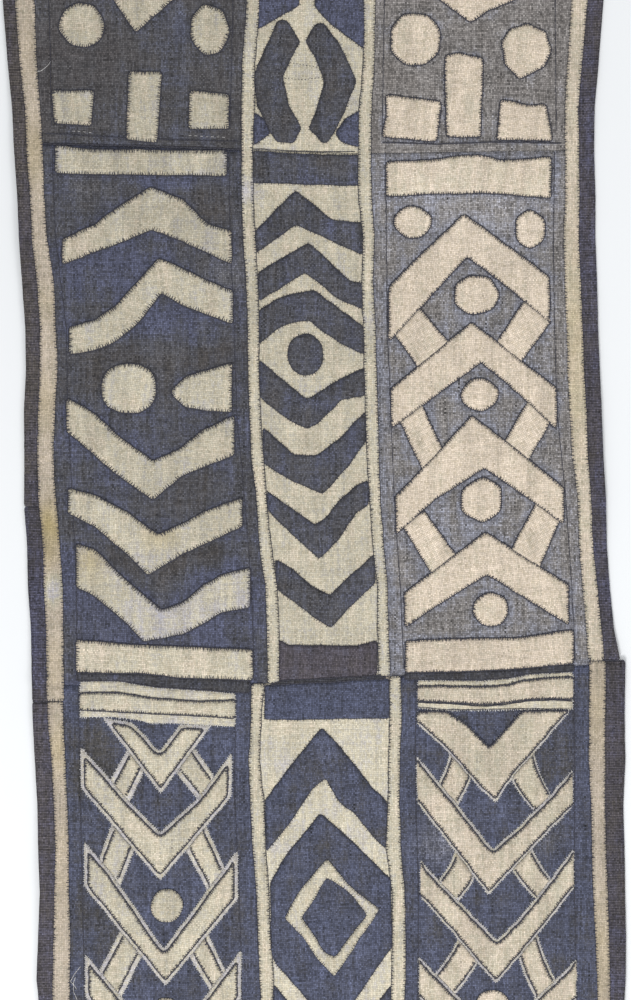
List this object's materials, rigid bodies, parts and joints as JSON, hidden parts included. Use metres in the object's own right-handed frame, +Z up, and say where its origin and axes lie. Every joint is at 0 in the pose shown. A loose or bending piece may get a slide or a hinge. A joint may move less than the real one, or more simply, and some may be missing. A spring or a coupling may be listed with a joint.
{
  "type": "applique raffia cloth",
  "caption": "Long flat raffia cloth of sewn panels with pale strips between them, laid with bars, chevrons, rounds and a lozenge.",
  "frame": {"origin": "middle of the bounding box, on the surface that the cloth lies on", "axes": "+Z up out of the worked face, +Y along the cloth towards the end of its upper length, +X across it to the right"},
  "size_m": [0.7204, 1.3603, 0.0055],
  "materials": {
    "natural_raffia": "undyed straw-coloured plain weave, slubbed and matte",
    "slate_raffia": "slate-blue dyed plain weave with brown streaks, matte",
    "brown_raffia": "brown-grey dyed plain weave, matte",
    "grey_raffia": "faded grey-violet dyed plain weave with pale specks, matte",
    "indigo_raffia": "indigo dyed plain weave with dark patches, matte",
    "plum_raffia": "dark plum-brown dyed plain weave, matte",
    "border_raffia": "dark purple-brown dyed plain weave, ribbed and matte"
  },
  "bodies": {
    "root": {"panel_left_low": "indigo_raffia", "panel_left_middle": "slate_raffia", "panel_left_top": "brown_raffia", "panel_centre_low": "natural_raffia", "panel_centre_middle": "natural_raffia", "panel_centre_top": "natural_raffia", "panel_right_low": "indigo_raffia", "panel_right_middle": "grey_raffia", "panel_right_top": "grey_raffia", "border_left_low": "border_raffia", "border_left_middle": "border_raffia", "border_left_top": "border_raffia", "border_right_low": "border_raffia", "border_right_top": "border_raffia", "outer_left_strip_low": "natural_raffia", "outer_left_strip_upper": "natural_raffia", "inner_left_strip_low": "natural_raffia", "inner_left_strip_upper": "natural_raffia", "inner_right_strip_low": "natural_raffia", "inner_right_strip_upper": "natural_raffia", "outer_right_strip_low": "natural_raffia", "outer_right_strip_upper": "natural_raffia", "bar_left_upper": "natural_raffia", "peak_left_1": "natural_raffia", "peak_left_2": "natural_raffia", "round_left": "natural_raffia", "leaf_left": "natural_raffia", "valley_left_1": "natural_raffia", "valley_left_2": "natural_raffia", "valley_left_3": "natural_raffia", "bar_left_lower": "natural_raffia", "hook_centre_left": "slate_raffia", "hook_centre_right": "slate_raffia", "bar_centre_upper": "slate_raffia", "peak_centre_1": "slate_raffia", "peak_centre_2": "slate_raffia", "peak_centre_3": "slate_raffia", "round_centre": "slate_raffia", "valley_centre_1": "slate_raffia", "valley_centre_2": "slate_raffia", "valley_centre_3": "slate_raffia", "valley_centre_4": "slate_raffia", "bar_centre_middle": "plum_raffia", "bar_centre_lower": "indigo_raffia", "peak_centre_low": "indigo_raffia", "lozenge_centre": "indigo_raffia", "diamond_ring": "natural_raffia", "valley_centre_low": "indigo_raffia", "bar_right_upper": "natural_raffia", "peak_right_1": "natural_raffia", "peak_right_2": "natural_raffia", "peak_right_3": "natural_raffia", "peak_right_4": "natural_raffia", "bar_right_lower": "natural_raffia", "valley_low_left_1": "natural_raffia", "valley_low_left_2": "natural_raffia", "valley_low_left_3": "natural_raffia", "valley_low_right_1": "natural_raffia", "valley_low_right_2": "natural_raffia", "valley_low_right_3": "natural_raffia"}
  },
  "joints": []
}
